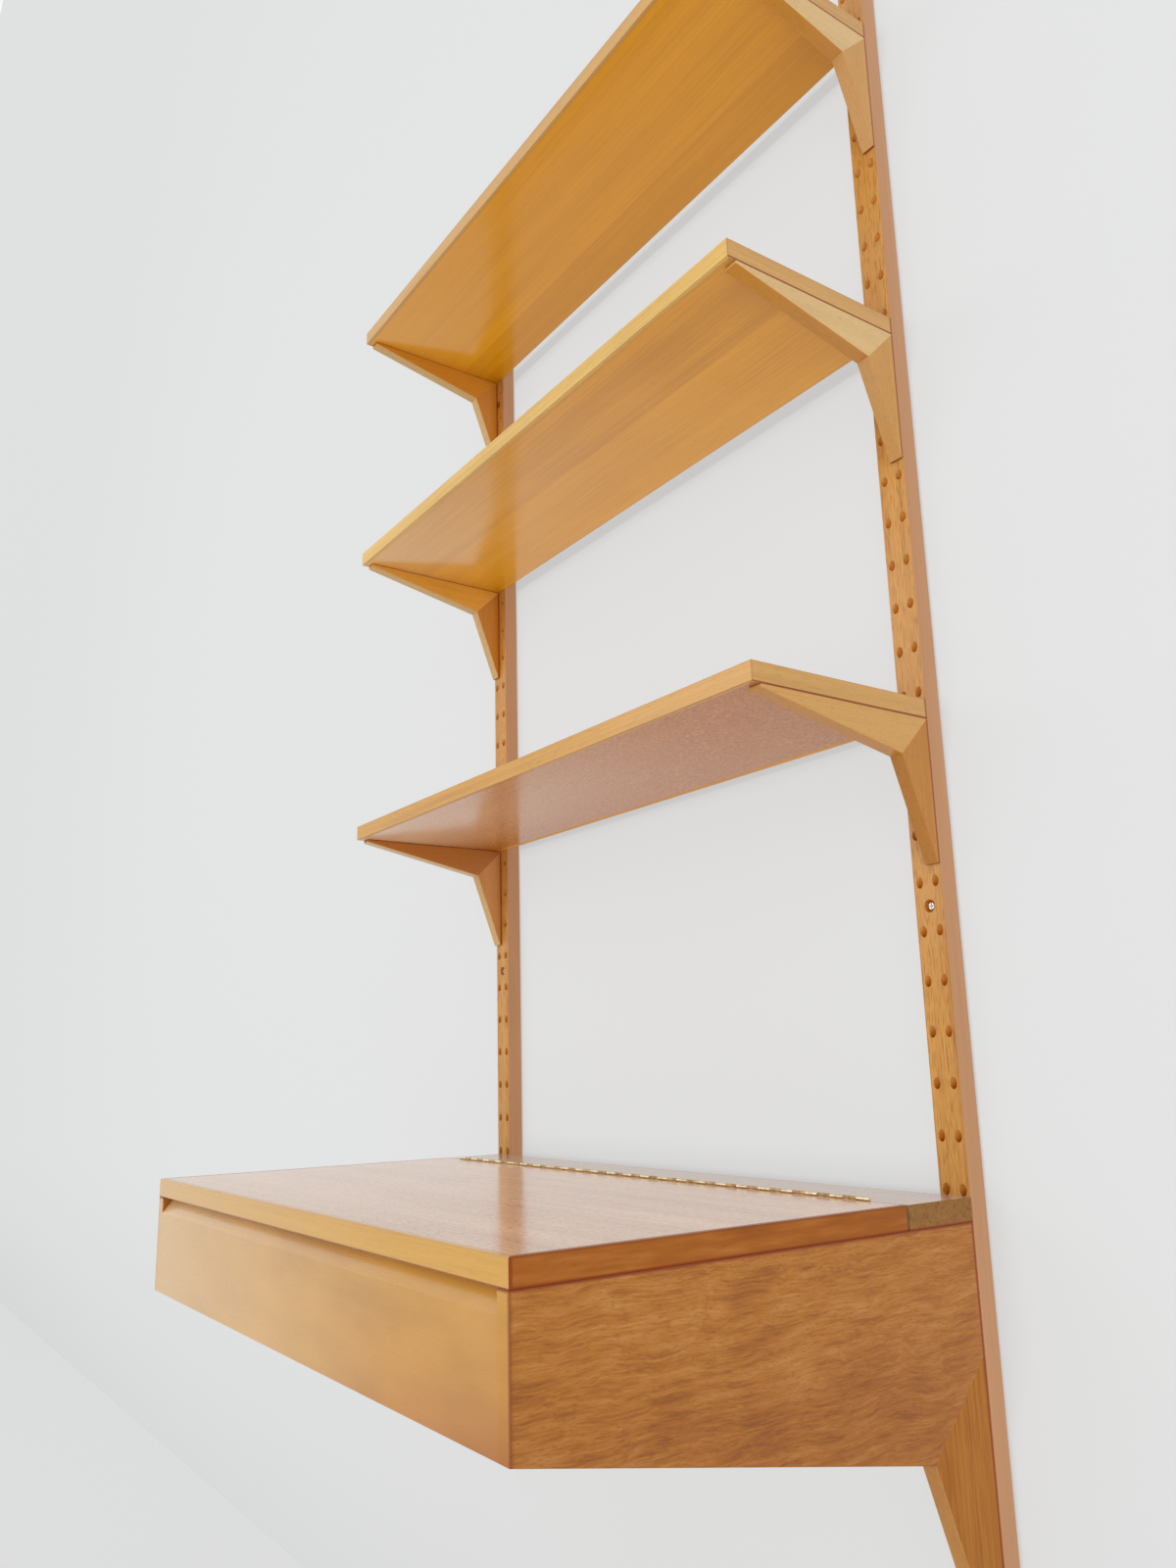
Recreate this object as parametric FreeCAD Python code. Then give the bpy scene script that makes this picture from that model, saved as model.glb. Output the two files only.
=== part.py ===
import FreeCAD
import Part
import math
import os

# Wall-hung shelving unit with a lidded desk, in lacquered oak.
# Millimetres. X runs along the wall, Y into the wall, Z up.
# The wall is the plane Y = 0, and the origin is midway between the two middle wall screws.

# Wall rails
unit_width = 800.0            # across both rails, and the length of the shelves and the desk
rail_width = 33.0
rail_thickness = 20.0
rail_end_margin = 32.5        # from the last row of peg holes to the rail's end
rail_edge_round = 1.2
wall_hole_diameter = 5.5
wall_recess_diameter = 12.0   # the flat-bottomed recess that takes the screw's head
wall_recess_depth = 7.0
wall_hole_rows = 20           # rows from a rail's middle wall hole up to its upper one
lower_wall_hole_rows = 12     # rows from a rail's middle wall hole down to its lower one

# Rows of slanted peg holes, two columns to a rail
hole_rows = 37
middle_hole_rows = 14         # rows below a rail's middle wall hole
hole_pitch = 45.0
hole_slant = 45.0             # degrees, down and into the rail
hole_diameter = 7.5
hole_floor = 5.0              # wood left between a hole's deepest corner and the wall
bracket_thickness = 15.0      # the outer column of holes runs along the middle of the brackets

# Pegs that hang the shelves and the desk on the rails
peg_clearance = 0.05
peg_end_gap = 3.5             # between a peg's tip and the floor of its hole
peg_end_wood = 0.5            # between a peg's other end and the bracket's mitre
peg_tip_chamfer = 0.8
end_play = 0.2                # behind the blind end of a peg or dowel

# Shelves
shelf_depth = 220.0
shelf_thickness = 19.0
edge_lipping = 4.0
rear_lipping = 9.0
shelf_edge_round = 0.9
top_shelf_rows = 34           # rows of holes below the row of the shelf's upper pegs
middle_shelf_rows = 26
lower_shelf_rows = 17
shelf_peg_count = 2           # on each side
rows_between_shelf_pegs = 2

# Shelf brackets, an arm and a leg joined by a mitre
bracket_elbow = 39.0          # depth and height of the mitred corner
arm_setback = 10.0            # from the shelf's front edge to the arm's tip
arm_tip_height = 4.0
leg_tail = 30.0               # below the lower peg
leg_tip_depth = 3.0
bracket_edge_round = 0.6
shelf_peg_drop = 17.0         # from the bracket's top to its upper peg

# Dowels inside the joints
dowel_diameter = 6.0
dowel_clearance = 0.05
dowel_seat = 10.0
arm_dowel_shares = (0.24, 0.52)       # of the arm's reach
strip_dowel_shares = (0.25, 0.75)     # of the rear strip's depth
panel_dowel_shares = (0.3, 0.7)       # of the upright panel's height under the finger bevel

# Desk
desk_depth = 460.0
desk_rows = 7                 # rows of holes below the row of the desk's upper pegs
desk_peg_drop = 20.0          # from the top of the desk's side to its upper peg
desk_peg_count = 3            # on each side
rows_between_desk_pegs = 3
desk_side_thickness = 15.0
desk_front_height = 103.0
desk_elbow_depth = 72.0
desk_elbow_drop = 176.0
desk_leg_tail = 74.0          # below the lowest peg
desk_leg_tip_depth = 3.0
desk_edge_round = 0.9
front_thickness = 18.0
finger_bevel_height = 17.0
finger_bevel_land = 4.0       # flat left along the top of the front
back_thickness = 12.0
bottom_thickness = 8.0
bottom_inset = 6.0            # from the sloping lower edge of the sides up to the bottom panel
groove_depth = 6.0
groove_clearance = 0.1
strip_depth = 80.0            # the fixed strip behind the lid

# Lid
lid_thickness = 20.0
lid_lipping = 6.0
lid_edge_round = 0.9

# Piano hinge between the strip and the lid
hinge_length = 720.0
knuckle_count = 47
knuckle_diameter = 2.9
knuckle_gap = 0.2
knuckle_clearance = 0.15      # under the knuckles
leaf_margin = 4.0             # from a leaf's lower edge to the lid's underside
leaf_thickness = 0.8
leaf_gap = 0.3
pin_diameter = 1.5
pin_clearance = 0.05
leaf_screw_count = 9
leaf_screw_diameter = 2.5
leaf_screw_head = 4.8
leaf_screw_length = 16.0
leaf_screw_end_inset = 36.0
leaf_screw_drop_share = 0.55  # of the leaf's height, down from the top of the lid
screw_clearance = 0.05

# How far a cutting shape runs past the face that it opens
overrun = 1.0
nearly_along_share = 0.999

# Places that follow from the sizes above
half_width = unit_width / 2
bracket_middle = half_width - bracket_thickness / 2
rail_middle = half_width - rail_width / 2
slant = math.radians(hole_slant)
hole_flat_end = hole_diameter / 2 * math.sin(slant)
hole_depth = (rail_thickness - hole_floor - hole_flat_end) / math.cos(slant)
peg_diameter = hole_diameter - 2 * peg_clearance
peg_reach = hole_depth - peg_end_gap
peg_seat = shelf_peg_drop * math.sin(slant) - peg_end_wood
arm_reach = shelf_depth - arm_setback
shelf_peg_span = (shelf_peg_count - 1) * rows_between_shelf_pegs * hole_pitch
leg_drop = shelf_peg_drop + shelf_peg_span + leg_tail
desk_peg_span = (desk_peg_count - 1) * rows_between_desk_pegs * hole_pitch
desk_leg_drop = desk_peg_drop + desk_peg_span + desk_leg_tail
finger_bevel_depth = front_thickness - finger_bevel_land
leaf_height = lid_thickness - leaf_margin
hinge_gap = 2 * leaf_thickness + leaf_gap


def row_height(row):
    return (row - middle_hole_rows + 0.5) * hole_pitch


rail_foot = row_height(0) - rail_end_margin
rail_head = row_height(hole_rows - 1) + rail_end_margin
desk_side_top = row_height(desk_rows) + desk_peg_drop
desk_top = desk_side_top + lid_thickness
hinge_depth = strip_depth + hinge_gap / 2
hinge_height = desk_top + knuckle_clearance + knuckle_diameter / 2


def at_depth(depth):
    """The Y of a point that lies this far in front of the rails' front faces."""
    return -rail_thickness - depth


def point(x, depth, z):
    return FreeCAD.Vector(x, at_depth(depth), z)


def slab(x_range, depth_range, z_range):
    """A box between two places along each direction."""
    size_x = x_range[1] - x_range[0]
    size_y = depth_range[1] - depth_range[0]
    size_z = z_range[1] - z_range[0]
    return Part.makeBox(size_x, size_y, size_z, point(x_range[0], depth_range[1], z_range[0]))


def side_plate(x_range, outline):
    """An upright plate: an outline of (depth, height) points, from one X to another."""
    corners = [point(x_range[0], depth, z) for depth, z in outline]
    face = Part.Face(Part.makePolygon(corners + corners[:1]))
    return face.extrude(FreeCAD.Vector(x_range[1] - x_range[0], 0, 0))


def flat_plate(z_range, outline):
    """A level plate: an outline of (X, depth) points, from one Z to another."""
    corners = [point(x, depth, z_range[0]) for x, depth in outline]
    face = Part.Face(Part.makePolygon(corners + corners[:1]))
    return face.extrude(FreeCAD.Vector(0, 0, z_range[1] - z_range[0]))


def rod(start, direction, diameter, length):
    return Part.makeCylinder(diameter / 2, length, start, direction)


def edge_middle(edge):
    return edge.valueAt((edge.FirstParameter + edge.LastParameter) / 2)


def runs_along(edge, axis):
    run = edge.Vertexes[-1].Point - edge.Vertexes[0].Point
    return abs(run.normalize().dot(axis)) > nearly_along_share


def eased(shape, radius, chosen):
    """Round the arrises that the test picks."""
    return shape.makeFillet(radius, [edge for edge in shape.Edges if chosen(edge)])


def eased_sides(plate, radius, mitre, flush=None):
    """Round the arrises of an upright plate's two broad faces, but not along its mitre or a flush joint."""
    def chosen(edge):
        if runs_along(edge, FreeCAD.Vector(1, 0, 0)):
            return False
        middle = edge_middle(edge)
        if flush and middle.distanceToPoint(flush) < radius:
            return False
        return middle.distanceToPoint(point(middle.x, *mitre)) > radius
    return eased(plate, radius, chosen)


def eased_outside(bar, radius, outward):
    """Round the two long arrises on the outward face of a level bar."""
    limit = max(vertex.Point.dot(outward) for vertex in bar.Vertexes)

    def chosen(edge):
        if runs_along(edge, FreeCAD.Vector(0, 0, 1)):
            return False
        return edge_middle(edge).dot(outward) > limit - radius
    return eased(bar, radius, chosen)


def middle_of(first, second):
    return tuple((a + b) / 2 for a, b in zip(first, second))


def bored(shape, tools):
    return shape.cut(Part.makeCompound(tools))


# Rails

into_hole = FreeCAD.Vector(0, math.cos(slant), -math.sin(slant))
out_of_hole = into_hole * -1
wall_hole_heights = [rows * hole_pitch for rows in (-lower_wall_hole_rows, 0, wall_hole_rows)]


def slanted_rod(x, z, diameter, inwards, outwards):
    """A rod along the slant of the peg holes, on both sides of the rail's front face."""
    return rod(point(x, 0, z) + out_of_hole * outwards, into_hole, diameter, inwards + outwards)


def peg_holes(side):
    columns = (bracket_middle, 2 * rail_middle - bracket_middle)
    mouth = hole_diameter / 2 * math.tan(slant) + overrun
    return [
        slanted_rod(side * column, row_height(row), hole_diameter, hole_depth, mouth)
        for column in columns
        for row in range(hole_rows)
    ]


def wall_holes(side):
    inwards = FreeCAD.Vector(0, 1, 0)
    through = rail_thickness + 2 * overrun
    tools = []
    for z in wall_hole_heights:
        start = point(side * rail_middle, overrun, z)
        tools.append(rod(start, inwards, wall_hole_diameter, through))
        tools.append(rod(start, inwards, wall_recess_diameter, wall_recess_depth + overrun))
    return tools


def make_rail(side):
    x_range = sorted((side * half_width, side * (half_width - rail_width)))
    bar = slab(x_range, (-rail_thickness, 0), (rail_foot, rail_head))
    bar = eased(bar, rail_edge_round, lambda edge: runs_along(edge, FreeCAD.Vector(0, 0, 1)))
    bar = bored(bar, peg_holes(side))
    for tool in wall_holes(side):
        bar = bar.cut(tool)
    return bar


# Pegs and dowels

def make_peg(side, z):
    shaft = slanted_rod(side * bracket_middle, z, peg_diameter, peg_reach, peg_seat)
    tip = point(side * bracket_middle, 0, z) + into_hole * peg_reach

    def at_tip(edge):
        return edge.BoundBox.Center.distanceToPoint(tip) < peg_tip_chamfer
    return shaft.makeChamfer(peg_tip_chamfer, [edge for edge in shaft.Edges if at_tip(edge)])


def peg_sockets(side, heights):
    bore = peg_diameter + 2 * peg_clearance
    mouth = hole_diameter / 2 * math.tan(slant) + overrun
    return [
        slanted_rod(side * bracket_middle, z, bore, mouth, peg_seat + end_play)
        for z in heights
    ]


def peg_heights(row, count, rows_between):
    return [row_height(row - place * rows_between) for place in range(count)]


def make_pegs(heights):
    return Part.makeCompound([make_peg(side, z) for side in (-1, 1) for z in heights])


def make_dowel(middle, direction):
    return rod(middle - direction * dowel_seat, direction, dowel_diameter, 2 * dowel_seat)


def dowel_socket(middle, direction):
    reach = dowel_seat + end_play
    bore = dowel_diameter + 2 * dowel_clearance
    return rod(middle - direction * reach, direction, bore, 2 * reach)


# Shelves and their brackets

def board_with_lippings(depth_range, z_range, lipping, rear, radius):
    """A panel with a front lipping, mitred to the end lippings, and a rear lipping between them."""
    back, front = depth_range
    inner = half_width - lipping
    pieces = {}
    pieces["panel"] = slab((-inner, inner), (back + rear, front - lipping), z_range)
    pieces["rear_lipping"] = slab((-inner, inner), (back, back + rear), z_range)
    front_outline = [(-half_width, front), (half_width, front)]
    front_outline += [(inner, front - lipping), (-inner, front - lipping)]
    front_bar = flat_plate(z_range, front_outline)
    pieces["front_lipping"] = eased_outside(front_bar, radius, FreeCAD.Vector(0, -1, 0))
    for side, name in ((-1, "left_lipping"), (1, "right_lipping")):
        end = [(side * half_width, front), (side * half_width, back)]
        end += [(side * inner, back), (side * inner, front - lipping)]
        end_bar = flat_plate(z_range, end)
        pieces[name] = eased_outside(end_bar, radius, FreeCAD.Vector(side, 0, 0))
    return pieces


def bracket_sides(side):
    return sorted((side * half_width, side * (half_width - bracket_thickness)))


def make_arm(side, top):
    outline = [(0, top), (arm_reach, top), (arm_reach, top - arm_tip_height)]
    outline += [(bracket_elbow, top - bracket_elbow)]
    mitre = middle_of(outline[0], outline[-1])
    return eased_sides(side_plate(bracket_sides(side), outline), bracket_edge_round, mitre)


def make_leg(side, top):
    outline = [(0, top), (bracket_elbow, top - bracket_elbow)]
    outline += [(leg_tip_depth, top - leg_drop), (0, top - leg_drop)]
    mitre = middle_of(outline[0], outline[1])
    return eased_sides(side_plate(bracket_sides(side), outline), bracket_edge_round, mitre)


def make_shelf(row):
    """One shelf with its two brackets, hung with its upper pegs in this row of holes."""
    up = FreeCAD.Vector(0, 0, 1)
    underside = row_height(row) + shelf_peg_drop
    heights = peg_heights(row, shelf_peg_count, rows_between_shelf_pegs)
    z_range = (underside, underside + shelf_thickness)
    pieces = board_with_lippings(
        (0, shelf_depth), z_range, edge_lipping, rear_lipping, shelf_edge_round)
    dowels = []
    for side, name in ((-1, "left"), (1, "right")):
        places = [
            point(side * bracket_middle, share * arm_reach, underside)
            for share in arm_dowel_shares
        ]
        sockets = [dowel_socket(place, up) for place in places]
        dowels += [make_dowel(place, up) for place in places]
        pieces["panel"] = bored(pieces["panel"], sockets)
        pieces[name + "_arm"] = bored(make_arm(side, underside), sockets)
        pieces[name + "_leg"] = bored(make_leg(side, underside), peg_sockets(side, heights))
    pieces["pegs"] = make_pegs(heights)
    pieces["dowels"] = Part.makeCompound(dowels)
    return pieces


# Desk box

desk_inside = half_width - desk_side_thickness
desk_lower_slope = (desk_elbow_drop - desk_front_height) / (desk_depth - desk_elbow_depth)
front_inside = desk_depth - front_thickness


def desk_lower_edge(depth):
    """The height of the sides' sloping lower edge at this depth."""
    return desk_side_top - desk_front_height - (desk_depth - depth) * desk_lower_slope


def desk_side_range(side):
    return sorted((side * half_width, side * desk_inside))


def desk_mitre():
    high = (0, desk_side_top - desk_elbow_drop + desk_elbow_depth)
    low = (desk_elbow_depth, desk_side_top - desk_elbow_drop)
    return high, low


def bottom_outline(clearance):
    """The bottom panel's section, let into the front and the back."""
    back = back_thickness - groove_depth - clearance
    front = front_inside + groove_depth + clearance
    low = bottom_inset - clearance
    high = bottom_inset + bottom_thickness + clearance
    lower = [(depth, desk_lower_edge(depth) + low) for depth in (back, front)]
    upper = [(depth, desk_lower_edge(depth) + high) for depth in (front, back)]
    return lower + upper


def make_desk_bottom():
    return side_plate((-desk_inside - groove_depth, desk_inside + groove_depth), bottom_outline(0))


def bottom_groove():
    reach = desk_inside + groove_depth + groove_clearance
    return side_plate((-reach, reach), bottom_outline(groove_clearance))


def upright_dowel_places(depth):
    """Dowels that join an upright panel of the desk box to its two sides."""
    high = desk_side_top - finger_bevel_height
    low = desk_side_top - desk_front_height + bottom_inset + bottom_thickness
    return [
        point(side * desk_inside, depth, high + (low - high) * share)
        for side in (-1, 1)
        for share in panel_dowel_shares
    ]


def strip_dowel_places():
    return [
        point(side * (half_width - desk_side_thickness / 2), strip_depth * share, desk_side_top)
        for side in (-1, 1)
        for share in strip_dowel_shares
    ]


def desk_dowels():
    """Every dowel of the desk box, as its middle and its direction."""
    along = FreeCAD.Vector(1, 0, 0)
    up = FreeCAD.Vector(0, 0, 1)
    places = upright_dowel_places(back_thickness / 2)
    places += upright_dowel_places(desk_depth - front_thickness / 2)
    return [(place, along) for place in places] + [(place, up) for place in strip_dowel_places()]


def desk_dowel_sockets():
    return [dowel_socket(place, direction) for place, direction in desk_dowels()]


def make_desk_side(side, heights):
    high, low = desk_mitre()
    outline = [high, (0, desk_side_top), (desk_depth, desk_side_top)]
    outline += [(desk_depth, desk_side_top - desk_front_height), low]
    plate = side_plate(desk_side_range(side), outline)
    front_joint = point(side * desk_inside, desk_depth, desk_side_top - desk_front_height / 2)
    plate = eased_sides(plate, desk_edge_round, middle_of(high, low), front_joint)
    plate = plate.cut(bottom_groove())
    return bored(bored(plate, desk_dowel_sockets()), peg_sockets(side, heights[:1]))


def make_desk_leg(side, heights):
    high, low = desk_mitre()
    tip = desk_side_top - desk_leg_drop
    outline = [high, low, (desk_leg_tip_depth, tip), (0, tip)]
    plate = side_plate(desk_side_range(side), outline)
    plate = eased_sides(plate, desk_edge_round, middle_of(high, low))
    return bored(plate.cut(bottom_groove()), peg_sockets(side, heights[1:]))


def make_desk_front():
    bevel_foot = desk_side_top - finger_bevel_height
    outline = [(front_inside, desk_side_top), (desk_depth - finger_bevel_depth, desk_side_top)]
    outline += [(desk_depth, bevel_foot), (desk_depth, desk_lower_edge(desk_depth))]
    outline += [(front_inside, desk_lower_edge(front_inside))]
    panel = side_plate((-desk_inside, desk_inside), outline)
    return bored(panel.cut(bottom_groove()), desk_dowel_sockets())


def make_desk_back():
    outline = [(0, desk_side_top), (back_thickness, desk_side_top)]
    outline += [(back_thickness, desk_lower_edge(back_thickness)), (0, desk_lower_edge(0))]
    panel = side_plate((-desk_inside, desk_inside), outline)
    return bored(panel.cut(bottom_groove()), desk_dowel_sockets())


# Piano hinge

def leaf_screw_places(depth):
    reach = hinge_length / 2 - leaf_screw_end_inset
    step = 2 * reach / (leaf_screw_count - 1)
    z = desk_top - leaf_height * leaf_screw_drop_share
    return [point(-reach + place * step, depth, z) for place in range(leaf_screw_count)]


def make_leaf_screw(place, direction, clearance):
    """A countersunk screw whose head lies flush in the leaf."""
    head = leaf_screw_head / 2 + clearance
    shank = leaf_screw_diameter / 2 + clearance
    length = leaf_screw_length + clearance
    cone = Part.makeCone(head, shank, leaf_thickness, place, direction)
    return cone.fuse(rod(place, direction, 2 * shank, length)).removeSplitter()


leaf_faces = {
    "fixed": (strip_depth + leaf_thickness, FreeCAD.Vector(0, 1, 0)),
    "lid": (strip_depth + leaf_thickness + leaf_gap, FreeCAD.Vector(0, -1, 0)),
}


def make_leaf_screws(leaf, clearance):
    depth, direction = leaf_faces[leaf]
    return [make_leaf_screw(place, direction, clearance) for place in leaf_screw_places(depth)]


def make_leaf(leaf, depth_range, first):
    """One hinge leaf: a plate with every second knuckle, counted from the first."""
    along = FreeCAD.Vector(1, 0, 0)
    half = hinge_length / 2
    step = hinge_length / knuckle_count
    plate = slab((-half, half), depth_range, (desk_top - leaf_height, desk_top))
    pieces = []
    for place in range(first, knuckle_count, 2):
        start = -half + place * step + knuckle_gap / 2
        length = step - knuckle_gap
        pieces.append(slab((start, start + length), depth_range, (desk_top, hinge_height)))
        pieces.append(rod(point(start, hinge_depth, hinge_height), along, knuckle_diameter, length))
    leaf_shape = plate.multiFuse(pieces)
    bore = pin_diameter + 2 * pin_clearance
    start = point(-half - overrun, hinge_depth, hinge_height)
    leaf_shape = leaf_shape.cut(rod(start, along, bore, hinge_length + 2 * overrun))
    return bored(leaf_shape, make_leaf_screws(leaf, screw_clearance)).removeSplitter()


def make_hinge_pin():
    start = point(-hinge_length / 2, hinge_depth, hinge_height)
    return rod(start, FreeCAD.Vector(1, 0, 0), pin_diameter, hinge_length)


# Desk and lid

def make_rear_strip():
    strip = slab((-half_width, half_width), (0, strip_depth), (desk_side_top, desk_top))

    def end_arris(edge):
        across = runs_along(edge, FreeCAD.Vector(0, 1, 0))
        return across and abs(edge_middle(edge).x) > desk_inside
    strip = eased(strip, desk_edge_round, end_arris)
    return bored(bored(strip, desk_dowel_sockets()), make_leaf_screws("fixed", screw_clearance))


def make_desk():
    heights = peg_heights(desk_rows, desk_peg_count, rows_between_desk_pegs)
    pieces = {}
    for side, name in ((-1, "left"), (1, "right")):
        pieces[name + "_side"] = make_desk_side(side, heights)
        pieces[name + "_leg"] = make_desk_leg(side, heights)
    pieces["front"] = make_desk_front()
    pieces["back"] = make_desk_back()
    pieces["bottom"] = make_desk_bottom()
    pieces["rear_strip"] = make_rear_strip()
    pieces["pegs"] = make_pegs(heights)
    dowels = [make_dowel(place, direction) for place, direction in desk_dowels()]
    pieces["dowels"] = Part.makeCompound(dowels)
    return pieces


def make_lid():
    depth_range = (strip_depth + hinge_gap, desk_depth)
    pieces = board_with_lippings(
        depth_range, (desk_side_top, desk_top), lid_lipping, lid_lipping, lid_edge_round)
    for name in ("rear_lipping", "panel"):
        pieces[name] = bored(pieces[name], make_leaf_screws("lid", screw_clearance))
    return pieces


def make_hinge():
    fixed_depths = (strip_depth, strip_depth + leaf_thickness)
    lid_depths = (strip_depth + leaf_thickness + leaf_gap, strip_depth + hinge_gap)
    return {
        "fixed_leaf": make_leaf("fixed", fixed_depths, 0),
        "lid_leaf": make_leaf("lid", lid_depths, 1),
        "pin": make_hinge_pin(),
        "fixed_screws": Part.makeCompound(make_leaf_screws("fixed", 0)),
        "lid_screws": Part.makeCompound(make_leaf_screws("lid", 0)),
    }


def all_pieces():
    groups = {"": {"left_rail": make_rail(-1), "right_rail": make_rail(1)}}
    groups["top_shelf_"] = make_shelf(top_shelf_rows)
    groups["middle_shelf_"] = make_shelf(middle_shelf_rows)
    groups["lower_shelf_"] = make_shelf(lower_shelf_rows)
    groups["desk_"] = make_desk()
    groups["lid_"] = make_lid()
    groups["hinge_"] = make_hinge()
    return {group + name: shape for group, made in groups.items() for name, shape in made.items()}


def main():
    os.makedirs("parts", exist_ok=True)
    for name, shape in all_pieces().items():
        shape.exportStep("parts/" + name + ".step")
        print(name, len(shape.Solids), round(shape.Volume), shape.isValid())


main()
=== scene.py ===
import bpy
import math
from mathutils import Matrix, Vector


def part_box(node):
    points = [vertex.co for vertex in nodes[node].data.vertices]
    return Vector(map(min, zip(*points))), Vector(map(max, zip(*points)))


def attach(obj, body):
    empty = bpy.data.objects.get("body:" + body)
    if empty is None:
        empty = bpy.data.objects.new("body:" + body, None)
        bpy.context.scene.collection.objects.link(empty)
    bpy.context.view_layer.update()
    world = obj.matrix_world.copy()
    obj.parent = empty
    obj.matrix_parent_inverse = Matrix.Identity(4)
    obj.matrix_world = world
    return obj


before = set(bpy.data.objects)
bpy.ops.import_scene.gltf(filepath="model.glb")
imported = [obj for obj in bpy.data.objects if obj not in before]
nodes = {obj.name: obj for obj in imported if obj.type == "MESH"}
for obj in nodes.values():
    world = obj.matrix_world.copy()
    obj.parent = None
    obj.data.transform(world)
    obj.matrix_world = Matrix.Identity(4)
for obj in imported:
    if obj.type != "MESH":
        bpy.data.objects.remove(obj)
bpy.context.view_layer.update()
scene = bpy.context.scene
mm = 0.001
print("frame loaded:", len(nodes), "nodes")


# sRGB hex to the linear values that sockets take, with a share of lightening or darkening
def linear(hexColour, shift=(0, 0, 0)):
    channels = [int(hexColour[i:i + 2], 16) / 255 for i in (1, 3, 5)]
    channels = [c / 12.92 if c < 0.04045 else ((c + 0.055) / 1.055) ** 2.4 for c in channels]
    return tuple(c * (1 + s) for c, s in zip(channels, shift)) + (1.0,)


# One node with its settings, its inputs (values or links) and, for a ramp, its stops. In a Mix node inputs
# 2 and 3 and output 0 are numbers, and inputs 6 and 7 and output 2 are colours.
def addNode(tree, kind, inputs=None, stops=None, **settings):
    node = tree.nodes.new(kind)
    for name, value in settings.items():
        setattr(node, name, value)
    for socket, value in (inputs or {}).items():
        if isinstance(value, bpy.types.NodeSocket):
            tree.links.new(value, node.inputs[socket])
        else:
            node.inputs[socket].default_value = value
    for index, (position, colour) in enumerate(stops or []):
        ramp = node.color_ramp.elements
        stop = ramp[index] if index < len(ramp) else ramp.new(position)
        stop.position = position
        stop.color = colour
    return node


def newMaterial(name):
    material = bpy.data.materials.new(name)
    material.use_nodes = True
    material.node_tree.nodes.clear()
    return material, material.node_tree


def dress(name, material):
    mesh = nodes[name].data
    mesh.materials.clear()
    mesh.materials.append(material)


# planes of the part that boards, marks and seams are placed by
acrossX, alongY, upZ = (1, 0, 0), (0, 1, 0), (0, 0, 1)
railFace = -20 * mm                              # the plane that the brackets hang against
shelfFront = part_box("top_shelf_front_lipping")[0][1]
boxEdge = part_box("desk_right_side")[1][2]        # top of the desk's sides, under the lid
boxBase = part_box("desk_front")[0][2]
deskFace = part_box("desk_front")[0][1]            # the desk's front plane
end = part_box("right_rail")[1][0]                 # the outer face of the right rail
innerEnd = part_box("right_rail")[0][0]

# turns that bring a board's grain to the X axis of its pattern
grainTurn = {"X": (0, 0, 0), "Y": (0, 0, -math.pi / 2), "Z": (0, math.pi / 2, 0)}
noiseMiddle = 0.5

# Lacquered oak, planed and sanded: broad tone bands from the growth rings, fine streaks along the grain,
# short brown pore lines, and a satin film whose gloss dips a little in the open grain. Sizes in mm.
oakGrain = {
    "seedStep": (1.37, 0.61, 0.83),          # how far apart two seeds lie in the noise
    "contrast": 0.22, "darkSteps": (1, 1.25, 1.5), "lightSteps": (0.7, 0.85, 1),
    "darkAt": 0.32, "middleAt": 0.50, "lightAt": 0.68,
    "bandWidth": 34, "bandLength": 600, "bandDetail": 3.0, "bandShare": 0.5,
    "streakWidth": 2.2, "streakLength": 170, "streakDetail": 2.5, "streakHeight": 0.4,
    "poreWidth": 0.9, "poreLength": 14,      # real pores are 0.3 wide, drawn coarser so that they show
    "poreDetail": 1.0, "poreShare": 0.30, "poreStart": 0.60, "poreRamp": 0.10,
    "poreDepth": 0.03, "bumpStrength": 0.4,
    "fleckShare": 0.0, "fleckStart": 0.44, "fleckFull": 0.34,    # pale flecks between the pores
    "waver": 5, "waverLength": 160, "waverDetail": 2.0,
    "leaves": (),                            # veneer leaves side by side: share of the depth, change of tone
    "cloudSize": 130, "cloudStep": 0.18, "cloudDetail": 1.0,     # slow change of tone over a board
    "paintedSheenShare": 0.0, "paintedSheenStart": 0.6,      # painted sheen: paler towards -X, for the gloss seen there at grazing angles
    "paintedSheenRear": 1.0, "paintedSheenKept": (0.3, 0.9),     # less so at the rear, where the rail's reflection and the corner's shade keep it deep, between these shares of the depth
    "lowDarkeningShare": 0.0, "lowDarkeningStart": 0.12, "lowDarkeningPower": 2.0,       # darker towards the low corner at +X
    "gloss": 0.24, "glossSpread": 0.06, "glossFrom": 0.3, "glossTo": 0.7,
    "ior": 1.45, "coat": 0.0, "coatIor": 1.5, "coatGloss": 0.16,
    # dark arrises: partly real joint lines, partly painted shade in the narrow gaps beside them
    "edge": "#7A3A10", "edgeShare": 0.0, "edgeWidth": 1.6,
}
seam = {"colour": "#863600", "share": 0.85}      # a dark line along a joint: partly the joint's own line, partly painted shade in its gap
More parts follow.
